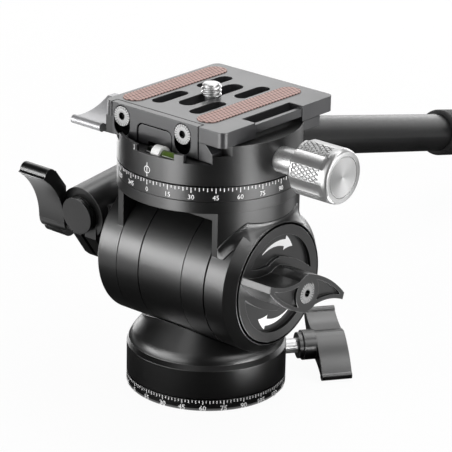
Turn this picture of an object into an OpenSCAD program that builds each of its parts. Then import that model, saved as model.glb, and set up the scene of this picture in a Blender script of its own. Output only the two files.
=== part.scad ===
// Two-way fluid video head with a rotating panorama top, a quick-release clamp and a bent pan handle.
// Millimetres. Origin at the centre of the base's underside, +Z up.
// +X runs along the tilt axis to the tilt-lock wing, +Y to the operator and the handle, -Y to the front.

/* [Part] */
// Every separate piece, in the order it is drawn
// Piece to draw, or all

/* [Base] */
// Radius of the base and its scale ring
base_r = 25; // [22:0.5:32]
// Height of the fixed scale ring
ring_h = 3.8; // [3:0.1:6]
// Height of the top of the straight base wall
wall_top = 13.3; // [11:0.1:16]
// Tap-drill radius of the tripod thread (3/8-16)
tripod_r = 3.97; // [3.9:0.01:4.2]
// Depth of the tripod thread
tripod_depth = 10; // [8:0.5:10.2]
// Radius of the pan spindle
spindle_r = 9.5; // [8:0.1:11]

/* [Pan lock] */
// Direction of the pan-lock screw, turned from +X
pan_lock_turn = 55; // [40:1:70]
// Height of the pan-lock screw
pan_lock_z = 8.7; // [8.4:0.1:9.2]
// Radius of the pan-lock screw
pan_lock_r = 2.35; // [2:0.05:3]
// Radius of the pan brake pad
pan_pad_r = 1.4; // [1.2:0.05:1.4]
// Size of the pan-lock wing against the tilt-lock wing
pan_wing_size = 0.7; // [0.6:0.01:0.75]

/* [Tilt drum and yoke] */
// Height of the tilt axis
tilt_z = 40.2; // [39:0.1:42]
// Radius of the tilt drum
drum_r = 22.4; // [21:0.1:23]
// Half the width of the slot between the yoke's arms
slot_half = 18; // [17:0.1:19]
// Half the width of the drum's middle section
core_half = 8.6; // [7:0.1:10]
// Radius of the tilt shaft
shaft_r = 6; // [5:0.1:7]
// How far the yoke's upright arms stand inside its head
arm_step = 0.55; // [0.3:0.05:1]
// Half the depth of the arms, front to back
arm_half = 19.2; // [17:0.1:20]
// How far the right housing's face stands inside the head's rim
right_step = 0.15; // [0:0.05:1]
// How far the left housing's face stands inside the head's rim
left_step = 1.95; // [1.5:0.05:3]
// Bevel on the right housing
bevel = 3; // [2:0.1:3]

/* [Tilt lock] */
// Radius of the tilt-lock disc
disc_r = 18.5; // [17:0.1:18.8]
// Length of the wing along its axis
wing_len = 11.6; // [9:0.1:13]
// Radius of the wing's hub
wing_hub = 6; // [5.6:0.1:6.4]
// Reach of the wing from the axis
wing_reach = 18.7; // [17:0.1:19]
// Distance of the disc pockets' rim from the wing
pocket_rim = 2.5; // [2:0.1:3]

/* [Panorama top] */
// Radius of the upper drum and its scale ring
top_r = 28.35; // [28:0.05:30]
// Underside of the yoke's head
head_z = 66; // [65.5:0.1:67]
// Seam between the yoke's head and the scale ring
scale_z = 69.6; // [69:0.1:70.5]
// Top of the scale ring
turn_z = 74.2; // [73.5:0.1:75]
// Gap under the rotating drum
turn_gap = 0.35; // [0.3:0.05:0.5]
// Rim of the rotating drum
rim_z = 83.8; // [83.5:0.1:84.6]
// Radius of the pivot that the drum turns on
pivot_r = 8; // [7:0.1:9]
// Height of the panorama-lock knob
pano_knob_z = 80.2; // [79.9:0.1:80.6]
// Radius of the panorama-lock knob
pano_knob_r = 8.5; // [7:0.1:9]
// Distance between the upper drum and the panorama-lock knob
pano_out = 9.05; // [8:0.05:11]
// Length of the panorama-lock knob
pano_knob_len = 14.4; // [13:0.1:17]
// Radius of the panorama-lock screw
pano_screw_r = 4; // [3.5:0.1:4.2]

/* [Clamp and plate] */
// Floor of the clamp
floor_z = 81.4; // [81.2:0.05:81.5]
// Underside of the plate's dovetail
plate_bottom = 81.6; // [81.5:0.05:81.8]
// Underside of the plate's top slab
slab_z = 87.2; // [86.8:0.1:87.6]
// Top of the plate
plate_top = 92; // [91:0.1:93]
// Half the width of the dovetail's lip
lip_half = 19; // [18.5:0.05:19.2]
// Height of the lip's straight side
lip_h = 3; // [2.6:0.1:3.2]
// Left side of the plate
plate_left = 24; // [23:0.1:24.5]
// Right side of the plate
plate_right = 23.5; // [23:0.1:24.5]
// Front end of the plate
plate_front = 21.2; // [20.5:0.1:21.6]
// Back end of the plate
plate_back = 30.4; // [28:0.1:34]
// Middle line of the plate's slots
slot_x = -3.7; // [-5:0.1:0]
// Middle of the camera screw's slot, front to back
slot_y = 4.5; // [3:0.1:6]
// Width of the plate's side slots
slot_w = 4.5; // [3.8:0.1:4.7]
// Distance of the side slots from the middle line
slot_out = 7.6; // [7.2:0.1:7.8]
// Width of the camera screw's slot
screw_slot_w = 5.6; // [4.3:0.1:5.8]
// Width of the rubber strips
strip_w = 7.3; // [6:0.1:7.5]
// How far the plate slides back in the open clamp
plate_travel = 10; // [5:0.5:11]
// Thickness of the stop flange
flange_t = 2.3; // [2:0.1:2.6]
// Half the width of the stop flange
flange_half = 17.2; // [16:0.1:17.4]
// Rounding of the plate's corners
plate_round = 2.2; // [1:0.1:2.6]
// Gap round the stop flange
flange_gap = 0.35; // [0.3:0.05:0.5]
// Half the width of the stop flange's window
window_half = 7.1; // [6:0.1:7.4]
// Distance of the window's top from the plate's top
window_drop = 4.1; // [3.6:0.1:5]
// Gap round the plate's tongue in the window
tongue_gap = 0.45; // [0.3:0.05:0.6]
// Rise of the stop flange
flange_rise = 3; // [2:0.1:3.2]
// Radius of the stop flange's screw heads
flange_head = 3.1; // [2.8:0.1:3.3]
// Radius of the camera screw (1/4 inch)
camera_r = 3.175; // [3:0.025:3.2]
// How far the camera screw stands above the plate
camera_h = 4; // [3:0.1:6]
// Height of the clamp screw
clamp_z = 78.4; // [77.5:0.1:78.5]

/* [Handle] */
// Distance of the handle clamp's axis from the left housing
bar_out = 11.65; // [11:0.05:13]
// Front face of the handle clamp
bar_y = -16.4; // [-18:0.1:-15]
// Height of the handle clamp at its front face
bar_z = 50.2; // [49.8:0.1:51]
// Upward slope of the handle clamp
bar_slope = 6.5; // [5:0.1:8]
// Outer radius of the handle clamp
barrel_r = 8.6; // [8.2:0.1:8.8]
// Length of the handle clamp
barrel_len = 22; // [18:0.5:24]
// Radius of the rod in the handle clamp
rod_r = 5.7; // [5.4:0.05:5.8]
// Radius of the plug on the rod's end
plug_r = 6.05; // [5.8:0.05:6.4]
// Radius of the handle tube
tube_r = 6.75; // [6.4:0.05:7]
// Distance from the clamp's face to the bend
bend_at = 70; // [60:1:80]
// Angle of the bend
bend = 19.6; // [10:0.1:25]
// Radius of the bend
bend_r = 60; // [40:1:80]
// Length of tube between the bend and the grip
tube_len = 120.5; // [90:0.5:125]
// Length of the grip
grip_len = 78; // [60:1:82]
// Radius of the grip
grip_r = 8.4; // [8:0.1:9]
// Rounding of the grip's front end
grip_lip = 1.5; // [1:0.1:1.6]
// Place of the handle's clamp screw, front to back
ear_y = -12.5; // [-13:0.1:-12]
// Height of the handle's clamp screw
ear_z = 42.8; // [42.4:0.1:42.8]

/* [Fits] */
// Radial clearance of a turning fit
run_fit = 0.08; // [0.02:0.01:0.1]
// Gap between parts that move past each other
move_gap = 0.4; // [0.3:0.05:0.5]
// Gap between parts that stay together
seat_gap = 0.04; // [0.02:0.01:0.1]

/* [Hidden] */
$fn = 72;
e = 0.02;
housing_z = ring_h + move_gap;
lip_z = 10.2;
spindle_z = 10.5;
pan_room_r = 13;
roof_z = 14.2;
spigot_r = 8;
core_left = -core_half;
core_right = core_half - 0.1;
ring_gap = 0.4;
bearing_r = 11;
disc_room_r = 19.6;
dome = [11.3, 8.9, 14.4];
saddle_r = drum_r + move_gap;
arm_r = top_r - arm_step;
right_face = top_r - right_step;
left_face = top_r - left_step;
knob_in = right_face - 5.4;
shaft_left = 2.1 - left_face;
shaft_right = knob_in - 1.9;
pan_screw_in = spindle_r + 3.4;
arc_out = [-9.9, -29.4, 37];
arc_in = [6.5, -28.6, 24];
lever_arc = [2.4, -26.8];
lever_arc_r = 21;
wing_tip = [17, -5.9];
drum_z = turn_z + turn_gap;
cup_r = top_r - 1.1;
pano_knob_x = top_r + pano_out;
pano_in = top_r - 6.05;
level_y = 4.25 - top_r;
level_z = 81.2;
vial_r = 1.7;
band_r = 2.7;
jaw_x = 5.75 - top_r;
jaw_half = top_r - 11.35;
jaw_back = 16.5;
wall_in = 22.6;
wall_right = 12;
pin_y = top_r - 17.35;
clamp_end = -top_r - 9.45;
clamp_in = 2.65 - top_r;
window_top = plate_top - window_drop;
jaw_top = slab_z - 0.3;
jaw_lip_y = flange_t - plate_front + plate_travel + 0.7;
root_half = lip_half - (slab_z - plate_bottom - lip_h);
strip_x = [slot_x - 15, slot_x + 14.9];
flange_left = slot_x - flange_half;
flange_right = slot_x + flange_half;
flange_screw_x = [flange_left + 4, flange_right - 6];
flange_screw_z = 88.2;
rear_y = flange_t - plate_front;
bar_x = -left_face - bar_out;
bar_bend_y = bend_at - bend_r * tan(bend / 2);
lever_x = bar_x - 8.95;
lever_end = bar_x - 17.15;
lever_near = bar_x - 6.15;

// cylinder along X on the tilt axis
module xcyl(r, x0, x1, y = 0, z = tilt_z) {
    translate([x0, y, z]) rotate([0, 90, 0]) cylinder(r = r, h = x1 - x0);
}

// outline in Y and Z, given thickness from x0 to x1
module xslab(x0, x1, y = 0, z = 0) {
    translate([x0, y, z]) rotate([90, 0, 90]) linear_extrude(x1 - x0) children();
}

// box given by its two corners
module box(a, b) {
    translate(a) cube([b[0] - a[0], b[1] - a[1], b[2] - a[2]]);
}

// ring about Z
module ring(r_out, r_in, z0, z1) {
    difference() {
        translate([0, 0, z0]) cylinder(r = r_out, h = z1 - z0);
        translate([0, 0, z0 - 1]) cylinder(r = r_in, h = z1 - z0 + 2);
    }
}

// ring about the tilt axis
module xring(r_out, r_in, x0, x1) {
    difference() {
        xcyl(r_out, x0, x1);
        xcyl(r_in, x0 - 1, x1 + 1);
    }
}

// one wing of the lock outline, fuller by g all round
module wing_half(g) {
    intersection() {
        translate([0, -15]) square([25, 30]);
        difference() {
            translate([arc_out[0], arc_out[1]]) circle(r = arc_out[2] + g);
            translate([arc_in[0], arc_in[1]]) circle(r = arc_in[2] - g);
        }
    }
}

// S-shaped lock outline: two wings turned half a turn apart, and the hub
module lock_outline(g) {
    intersection() {
        union() {
            wing_half(g);
            rotate(180) wing_half(g);
            circle(r = wing_hub + g);
        }
        circle(r = wing_reach + g);
    }
}

// puts a piece on the pan-lock screw's axis, which becomes local X
module at_pan_lock() {
    translate([0, 0, pan_lock_z]) rotate([0, 0, pan_lock_turn]) children();
}

// puts a piece on the handle clamp's axis, which becomes local Y
module at_bar() {
    translate([bar_x, bar_y, bar_z]) rotate([bar_slope, 0, 0]) children();
}

// puts a piece on the straight length after the bend, which becomes local Y
module at_grip() {
    at_bar() translate([0, bend_at, 0]) rotate([-bend, 0, 0]) children();
}

// cylinder along local Y
module ycyl(r, y0, y1) {
    translate([0, y0, 0]) rotate([-90, 0, 0]) cylinder(r = r, h = y1 - y0);
}

// round-ended slot along Y, from height z0 to z1
module plate_slot(x, y0, y1, w, z0, z1) {
    for (y = [y0 + w / 2, y1 - w / 2])
        translate([x, y, z0]) cylinder(r = w / 2, h = z1 - z0);
    box([x - w / 2, y0 + w / 2, z0], [x + w / 2, y1 - w / 2, z1]);
}

// round-topped block of the stop flange's window, from y0 backward
module window_block(half, top, r, y0) translate([slot_x, 0, 0]) {
    box([-half, y0, 70], [half, 0, top - r]);
    box([r - half, y0, 70], [half - r, 0, top]);
    for (s = [-1, 1]) translate([s * (half - r), 0, top - r]) rotate([90, 0, 0]) cylinder(r = r, h = -y0);
}

module base_plate() color([0.12, 0.12, 0.13]) difference() {
    union() {
        translate([0, 0, 0.5]) cylinder(r = base_r, h = ring_h - 0.5);
        cylinder(r1 = base_r - 0.5, r2 = base_r, h = 0.5);
        cylinder(r = spindle_r, h = spindle_z);
    }
    translate([0, 0, -1]) cylinder(r = 6, h = 20);
    ring(22, 17, -1, 0.8);
    for (a = [0, 120, 240]) rotate(a) translate([7.75, 0, 7.5]) cylinder(r = 0.95, h = 5);
}

module base_pad() color([0.07, 0.07, 0.07]) ring(22 - seat_gap, 17 + seat_gap, 0, 0.8 - seat_gap);

module thread_bush() color([0.75, 0.75, 0.76])
    ring(6 - seat_gap, tripod_r, 0, tripod_depth);

module pan_retainer() color([0.6, 0.6, 0.62]) difference() {
    ring(12.4, 4.4, spindle_z, spindle_z + 2);
    for (a = [0, 120, 240]) rotate(a) translate([7.75, 0, 0]) {
        cylinder(r = 1, h = 20);
        translate([0, 0, spindle_z + 1]) cylinder(r = 1.75, h = 5);
    }
}

module retainer_screws() color([0.55, 0.55, 0.57])
    for (a = [0, 120, 240]) rotate(a) translate([7.75, 0, 0]) {
        translate([0, 0, 7.6]) cylinder(r = 0.9, h = spindle_z - 6);
        translate([0, 0, spindle_z + 1.05]) cylinder(r = 1.7, h = 0.9);
    }

module base_housing() color([0.10, 0.10, 0.11]) difference() {
    rotate_extrude() intersection() {
        union() {
            translate([0, housing_z]) square([base_r, wall_top - housing_z]);
            polygon([[0, wall_top], [base_r, wall_top], [base_r - 0.65, wall_top + 1.7], [0, wall_top + 1.7]]);
            difference() {
                translate([dome[0], dome[1]]) circle(r = dome[2]);
                translate([0, -20]) square([60, wall_top + 21.69]);
            }
            translate([0, wall_top]) square([dome[0], 9.2]);
        }
        translate([0, housing_z]) square([base_r, 30]);
    }
    xcyl(saddle_r, -30, 30);
    translate([0, 0, -1]) cylinder(r = spindle_r + run_fit, h = 30);
    translate([0, 0, lip_z]) cylinder(r = pan_room_r, h = roof_z - lip_z);
    translate([0, 0, roof_z - 1]) cylinder(r = spigot_r + seat_gap, h = 12);
    at_pan_lock() {
        xcyl(pan_lock_r + run_fit, pan_screw_in - 0.1, 30, 0, 0);
        xcyl(pan_pad_r + run_fit, 5, 20, 0, 0);
    }
    for (s = [-1, 1]) translate([0, s * 10.7, 0]) {
        cylinder(r = 1.6, h = 30);
        translate([0, 0, roof_z - 2]) cylinder(r = 2.4, h = 3.2);
    }
}

module pan_washer() color([0.85, 0.85, 0.82]) ring(12.3, spindle_r + 0.3, lip_z, lip_z + 0.15);

module pan_brake_pad() color([0.72, 0.58, 0.30])
    at_pan_lock() xcyl(pan_pad_r, spindle_r + 0.35, pan_screw_in - 0.2, 0, 0);

module tilt_core() color([0.10, 0.10, 0.11]) difference() {
    union() {
        xcyl(drum_r, core_left, core_right);
        translate([0, 0, roof_z]) cylinder(r = spigot_r, h = 12);
    }
    xcyl(bearing_r + seat_gap, -30, 30);
    for (s = [-1, 1]) translate([0, s * 10.7, 0]) cylinder(r = 1.55, h = 27.6);
}

module core_screws() color([0.55, 0.55, 0.57])
    for (s = [-1, 1]) translate([0, s * 10.7, 0]) {
        translate([0, 0, roof_z - 0.6]) cylinder(r = 2.3, h = 1.7);
        translate([0, 0, roof_z]) cylinder(r = 1.5, h = 13);
    }

module drum_ring_a() color([0.10, 0.10, 0.11]) difference() {
    union() {
        xcyl(drum_r, -slot_half + 0.2, core_left - ring_gap);
        xcyl(drum_r - 0.8, core_left - ring_gap - 1, core_left - e);
    }
    xcyl(disc_room_r, -30, core_left - ring_gap - 0.8);
    xcyl(bearing_r - 2, -30, 0);
}

module drum_ring_b() color([0.10, 0.10, 0.11]) difference() {
    union() {
        xcyl(drum_r, core_right + 0.2, slot_half - 0.5);
        xcyl(drum_r - 0.25, core_right + e, core_right + 1);
    }
    xcyl(bearing_r - 2, 0, 30);
}

module bearing_left() color([0.62, 0.62, 0.64]) xring(bearing_r, shaft_r + run_fit, core_left + 0.3, core_left + 5.3);

module bearing_right() color([0.62, 0.62, 0.64]) xring(bearing_r, shaft_r + run_fit, core_right - 5.3, core_right - 0.3);

module damping_plates() color([0.45, 0.45, 0.47])
    for (k = [0, 1]) xring(disc_room_r - seat_gap, shaft_r + 1, -12.3 - 2.6 * k, -11.4 - 2.6 * k);

module pan_lock_screw() color([0.85, 0.85, 0.86])
    at_pan_lock() xcyl(pan_lock_r, pan_screw_in, 43.6, 0, 0);

module pan_lock_collar() color([0.80, 0.80, 0.81]) at_pan_lock() difference() {
    xcyl(4.2, 29.5, 30.9, 0, 0);
    xcyl(pan_lock_r + e, 20, 40, 0, 0);
}

module pan_lock_wing() color([0.11, 0.11, 0.12]) at_pan_lock() difference() {
    union() {
        xcyl(4.8, 30.9 + e, 35, 0, 0);
        xslab(34.8, 44.6) mirror([1, 0]) rotate(-14) {
            scale(pan_wing_size) lock_outline(0);
            for (s = [-1, 1])
                translate([s * wing_tip[0], s * wing_tip[1]] * pan_wing_size) circle(r = 1.25);
        }
    }
    xcyl(pan_lock_r + e, 20, 43.6 + e, 0, 0);
}

module yoke() color([0.11, 0.11, 0.12]) difference() {
    union() {
        translate([0, 0, head_z]) cylinder(r = top_r, h = scale_z - head_z - e);
        translate([0, 0, head_z]) cylinder(r = 19.7, h = turn_z - head_z - 0.3);
        intersection() {
            translate([0, 0, tilt_z]) cylinder(r = arm_r, h = head_z - tilt_z + 1);
            box([-40, -arm_half, tilt_z], [40, arm_half, head_z + 1]);
        }
        xcyl(drum_r, slot_half, right_face - bevel);
        translate([right_face - bevel, 0, tilt_z]) rotate([0, 90, 0])
            cylinder(r1 = drum_r, r2 = drum_r - bevel, h = bevel);
        xcyl(drum_r, -left_face + 0.8, -slot_half);
        translate([-left_face, 0, tilt_z]) rotate([0, 90, 0])
            cylinder(r1 = drum_r - 0.8, r2 = drum_r, h = 0.8);
    }
    box([-slot_half, -40, 10], [slot_half, 40, tilt_z + saddle_r + 0.1]);
    xcyl(drum_r - bevel - 0.2, knob_in - move_gap, 40);
    xcyl(shaft_r + seat_gap, shaft_left - 0.1, shaft_right + 0.1);
    xcyl(3.1, 0, 40);
    xcyl(16, -30, -left_face + 1);
    translate([0, 0, head_z - 10]) cylinder(r = pivot_r, h = 30);
    translate([0, 0, head_z - 10]) cylinder(r = 10.9, h = 10.2);
}

module scale_ring() color([0.11, 0.11, 0.12]) ring(top_r, 19.7 + seat_gap, scale_z + 0.1, turn_z);

module tilt_shaft() color([0.65, 0.65, 0.67]) difference() {
    xcyl(shaft_r, shaft_left, shaft_right);
    xcyl(2.9, 9, 30);
}

module damping_discs() color([0.70, 0.70, 0.72])
    for (k = [0, 1, 2]) xring(disc_room_r - 0.6, shaft_r + e, -11 - 2.6 * k, -10.1 - 2.6 * k);

module left_cap() color([0.12, 0.12, 0.13]) xcyl(16 - seat_gap, -left_face + 0.2, -left_face + 1 - e);

module handle_bracket() color([0.10, 0.10, 0.11]) difference() {
    union() {
        at_bar() ycyl(barrel_r, 0, barrel_len);
        box([bar_x + 4.55, bar_y + 3, ear_z - 3], [-left_face - e, 4, 54]);
        xslab(bar_x - 4.4, bar_x + 5.5) polygon([[bar_y + 0.3, bar_z + 2], [bar_y + 0.3, ear_z - 0.4],
            [ear_y + 1.9, ear_z - 8.2], [ear_y + 3.9, ear_z - 9.8], [ear_y + 6.5, ear_z - 10.4],
            [2, ear_z - 9], [4, ear_z - 6], [4, bar_z + 2]]);
    }
    at_bar() ycyl(rod_r + run_fit, -1, barrel_len + 1);
    box([bar_x - 0.8, -30, 30], [bar_x + 0.8, 10, bar_z - 2]);
    xcyl(1.7, -60, bar_x + 4.5, ear_y, ear_z);
}

module tilt_knob() color([0.12, 0.12, 0.13]) difference() {
    union() {
        xcyl(disc_r, knob_in, right_face + 0.2);
        xslab(right_face, right_face + wing_len, 0, tilt_z) lock_outline(0);
    }
    xslab(right_face - 1.1, right_face + 1, 0, tilt_z) difference() {
        circle(r = disc_r - 3);
        lock_outline(pocket_rim);
    }
    xslab(right_face + wing_len - 1, right_face + wing_len + 1, 0, tilt_z) difference() {
        intersection() {
            lock_outline(-1.3);
            circle(r = wing_reach - 2.4);
        }
        circle(r = wing_hub - 0.6);
    }
    translate([right_face + wing_len - 2.5, 0, tilt_z]) rotate([0, 90, 0])
        cylinder(r1 = 1.7, r2 = 3.45, h = 2.52);
    xcyl(1.6, 24, 60);
    xcyl(3, 10, right_face - 1);
}

module tilt_knob_screw() color([0.85, 0.85, 0.86]) difference() {
    union() {
        translate([right_face + wing_len - 2.3, 0, tilt_z]) rotate([0, 90, 0])
            cylinder(r1 = 1.6, r2 = 3.2, h = 2.25);
        xcyl(1.5, right_face - 0.8, right_face + wing_len - 2);
    }
    xcyl(1.25, right_face + wing_len - 1.6, right_face + wing_len + 1, $fn = 6);
}

module tilt_stud() color([0.65, 0.65, 0.67]) xcyl(2.8, 14, right_face - 1.2);

// outline of the handle clamp's single-wing lever: across is up, up is toward the back
module lever_outline() {
    difference() {
        polygon([[-3.5, 0], [-1.5, -3.3], [2.4, -5.7], [8, -12], [19, -16], [21.6, -12], [21.3, -9.4],
            [12.4, -2.8], [6.5, 2.6], [2, 3.6], [-2.5, 2.5]]);
        translate(lever_arc) circle(r = lever_arc_r);
    }
    circle(r = 3.7);
    translate([2.4, -1.6]) circle(r = 4.1);
    translate([20.1, -11.8]) circle(r = 2.3);
}

module handle_lever() color([0.12, 0.12, 0.13]) difference() {
    union() {
        xslab(lever_end, lever_x, ear_y, ear_z) mirror([1, 0]) rotate(90) lever_outline();
        xslab(lever_x - e, lever_near, ear_y, ear_z) intersection() {
            mirror([1, 0]) rotate(90) lever_outline();
            union() {
                translate([-30, -10]) square([25.2, 50]);
                translate([-30, 15.2]) square([50, 20]);
            }
        }
    }
    xcyl(1.5 + e, lever_end + 1.2, -20, ear_y, ear_z);
}

module handle_screw() color([0.80, 0.80, 0.81]) xcyl(1.5, lever_end + 1.3, bar_x + 4.2, ear_y, ear_z);

module handle_bar() color([0.13, 0.13, 0.14]) difference() {
    union() {
        at_bar() ycyl(tube_r, barrel_len + 0.6, bar_bend_y + 0.3);
        at_bar() ycyl(rod_r, 0.5, barrel_len + 1);
        at_bar() translate([0, bar_bend_y, -bend_r]) rotate([0, 90, 0]) rotate([0, 0, 180 - bend])
            rotate_extrude(angle = bend) translate([bend_r, 0]) circle(r = tube_r - seat_gap);
        at_grip() ycyl(tube_r, bend_at - bar_bend_y - 0.3, tube_len + grip_len - 2);
    }
    at_bar() ycyl(rod_r - 2, -1, bar_bend_y - 2);
    at_grip() ycyl(tube_r - 1.5, bend_at - bar_bend_y + 2, tube_len + grip_len);
}

module handle_plug() color([0.16, 0.16, 0.17]) at_bar() {
    ycyl(plug_r, -2.7, -1.5);
    ycyl(rod_r - 0.5, -1.6, -0.7);
    ycyl(rod_r, -0.8, 0.48);
    ycyl(rod_r - 2 - seat_gap, 0.4, 9);
}

module handle_grip() color([0.08, 0.08, 0.08]) at_grip() difference() {
    rotate([-90, 0, 0]) rotate_extrude() {
        translate([0, tube_len]) square([grip_r - grip_lip, grip_len]);
        translate([0, tube_len + grip_lip]) square([grip_r, grip_len - grip_lip]);
        translate([grip_r - grip_lip, tube_len + grip_lip]) circle(r = grip_lip);
    }
    ycyl(tube_r + seat_gap, tube_len - 1, tube_len + grip_len - 1.9);
}

module grip_cap() color([0.10, 0.10, 0.10]) at_grip() difference() {
    ycyl(grip_r - 0.3, tube_len + grip_len + e, tube_len + grip_len + 2.4);
    translate([0, tube_len + grip_len + 3.4, 0]) sphere(r = 3);
}

module pano_drum() color([0.11, 0.11, 0.12]) difference() {
    union() {
        translate([0, 0, drum_z]) cylinder(r = top_r, h = rim_z - drum_z);
        intersection() {
            translate([0, 0, drum_z]) cylinder(r = top_r, h = jaw_top - drum_z);
            box([root_half + 0.5, -jaw_back, drum_z], [40, jaw_back, 100]);
        }
    }
    difference() {
        translate([0, 0, floor_z]) cylinder(r = cup_r, h = 10);
        box([root_half + 0.5, -jaw_back, 70], [40, jaw_back, 100]);
    }
    translate([0, 40, 0]) rotate([90, 0, 0]) linear_extrude(40 + wall_in)
        polygon([[0, floor_z], [lip_half + 0.06, floor_z], [lip_half + 0.06, plate_bottom + lip_h + 0.06],
            [root_half + 0.06, slab_z + 0.06], [0, slab_z + 5]]);
    box([-40, -40, floor_z - 0.1], [0.7 - root_half, 40, 100]);
    box([-40, -40, 60], [jaw_x + move_gap, 40, 100]);
    box([jaw_x + 0.6, 0, floor_z], [lip_half + 0.06, 40, 100]);
    box([-4.6, -40, 81.9], [9.2, -20, 100]);
    box([wall_right, -40, floor_z], [lip_half + 0.06, -20, 100]);
    box([-5, level_y - 2.3, 79], [9.6, level_y + 2.5, 100]);
    xcyl(band_r + 0.1, -0.3, 3, level_y, level_z);
    translate([0, 0, 60]) cylinder(r = pivot_r + 0.3, h = 18.4);
    xcyl(pano_screw_r + run_fit, pano_in - 0.3, 40, 0, pano_knob_z);
    box([pano_in - 5, -4, 60], [pano_in - 0.2, 4, 79.6]);
    xcyl(2.5, -40, -11.5, 0, clamp_z);
    for (s = [-1, 1]) xcyl(1.5 + seat_gap, -40, jaw_x + 7.6, s * pin_y, clamp_z);
}

module pano_pivot() color([0.62, 0.62, 0.64]) union() {
    translate([0, 0, head_z - 0.2]) cylinder(r = pivot_r - run_fit, h = 78.3 - head_z + 0.2);
    translate([0, 0, head_z - 1.7]) cylinder(r = 10.4, h = 1.5);
}

module pano_brake() color([0.72, 0.58, 0.30])
    box([pano_in - 4.9, -3.9, turn_z + 0.3], [pano_in - 0.3, 3.9, 79.5]);

module level_holder() color([0.06, 0.06, 0.06]) difference() {
    box([-4.9, level_y - 2.2, 79.1], [9.5, level_y + 2.4, level_z + 0.4]);
    xcyl(vial_r + seat_gap, -2.8, 20, level_y, level_z);
}

module level_vial() color([0.45, 0.65, 0.20, 0.8]) xcyl(vial_r, -2.7, 9.4, level_y, level_z);

module level_band() color([0.90, 0.90, 0.90]) difference() {
    xcyl(band_r, -0.2, 2.9, level_y, level_z);
    xcyl(vial_r + seat_gap, -10, 10, level_y, level_z);
    box([-10, -40, 60], [10, 0, level_z + 0.44]);
}

module jaw_pins() color([0.65, 0.65, 0.67])
    for (s = [-1, 1]) xcyl(1.5, jaw_x - 1.9, jaw_x + 7.5, s * pin_y, clamp_z);

module pano_knob() color([0.82, 0.82, 0.83]) difference() {
    union() {
        xcyl(pano_knob_r - 0.5, pano_knob_x, pano_knob_x + 1, 0, pano_knob_z);
        xcyl(pano_knob_r, pano_knob_x + 0.5, pano_knob_x + pano_knob_len - 2, 0, pano_knob_z);
        translate([pano_knob_x + pano_knob_len - 2 - e, 0, pano_knob_z]) rotate([0, 90, 0])
            cylinder(r1 = pano_knob_r, r2 = pano_knob_r - 2, h = 2);
    }
    translate([pano_knob_x + pano_knob_len - 0.7, 0, pano_knob_z]) rotate([0, 90, 0])
        cylinder(r1 = 5.2, r2 = 5.7, h = 1);
    for (a = [0 : 60 : 300]) translate([pano_knob_x, 0, pano_knob_z]) rotate([a + 20, 0, 0])
        translate([-1, 0, 13.1]) rotate([0, 90, 0]) cylinder(r = 5.3, h = 13.2);
    xcyl(3 + e, pano_knob_x - 1, pano_knob_x + 8, 0, pano_knob_z);
}

module pano_screw() color([0.85, 0.85, 0.86]) union() {
    xcyl(pano_screw_r, pano_in, pano_knob_x - e, 0, pano_knob_z);
    xcyl(3, pano_knob_x - 0.5, pano_knob_x + 7.9, 0, pano_knob_z);
}

module moving_jaw() color([0.11, 0.11, 0.12]) difference() {
    union() {
        intersection() {
            translate([0, 0, drum_z + 0.3]) cylinder(r = top_r - 0.05, h = jaw_top - drum_z - 0.3);
            box([-40, -jaw_half, 60], [jaw_x, jaw_half, 100]);
        }
        box([jaw_x - 1.6, 0.8 - plate_front, floor_z + 0.1], [flange_left - move_gap, jaw_back, jaw_top]);
        box([jaw_x - 1.6, jaw_lip_y, floor_z + 0.1], [-root_half - 0.06, jaw_back, jaw_top]);
    }
    translate([0, 40, 0]) rotate([90, 0, 0]) linear_extrude(80)
        polygon([[0, 60], [jaw_x, 60], [jaw_x, floor_z + 0.1], [-lip_half - 0.06, floor_z + 0.1],
            [-lip_half - 0.06, plate_bottom + lip_h + 0.06], [-root_half - 0.06, slab_z + 0.06], [0, slab_z + 5]]);
    xcyl(2.5, -40, -10, 0, clamp_z);
    for (s = [-1, 1]) xcyl(1.5 + run_fit, jaw_x - 2.4, 0, s * pin_y, clamp_z);
    translate([flange_screw_x[0], 0, flange_screw_z]) ycyl(1.5 + move_gap, -40, 40);
}

// outline of the clamp lever: across is toward the front, up is up
module clamp_outline() {
    difference() {
        polygon([[-3, 2], [2, 7.9], [12, 7.9], [20.4, 5.6], [20.8, 3], [4.2, -4.4], [-1, -5]]);
        translate([16.5, 25.7]) circle(r = 21.1);
    }
}

module clamp_lever() color([0.80, 0.80, 0.81]) difference() {
    union() {
        xslab(clamp_end, clamp_in, 0, clamp_z) mirror([1, 0]) clamp_outline();
        xcyl(6, clamp_end, clamp_in, 0, clamp_z);
        xcyl(1.4, clamp_end, clamp_in, -20.4, clamp_z + 3.9);
    }
    xcyl(15.5, -top_r - 0.65, 0, 0, clamp_z);
    xcyl(2.4 + e, clamp_end + 1.3, 0, 0, clamp_z);
}

module clamp_screw() color([0.80, 0.80, 0.81]) xcyl(2.4, clamp_end + 1.4, -12, 0, clamp_z);

module plate_slab() {
    box([-plate_left, plate_round - plate_front, slab_z], [plate_right, plate_back - plate_round, plate_top]);
    box([plate_round - plate_left, -plate_front, slab_z], [plate_right - plate_round, plate_back, plate_top]);
    for (x = [plate_round - plate_left, plate_right - plate_round])
        for (y = [plate_round - plate_front, plate_back - plate_round])
            translate([x, y, slab_z]) cylinder(r = plate_round, h = plate_top - slab_z);
}

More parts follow.
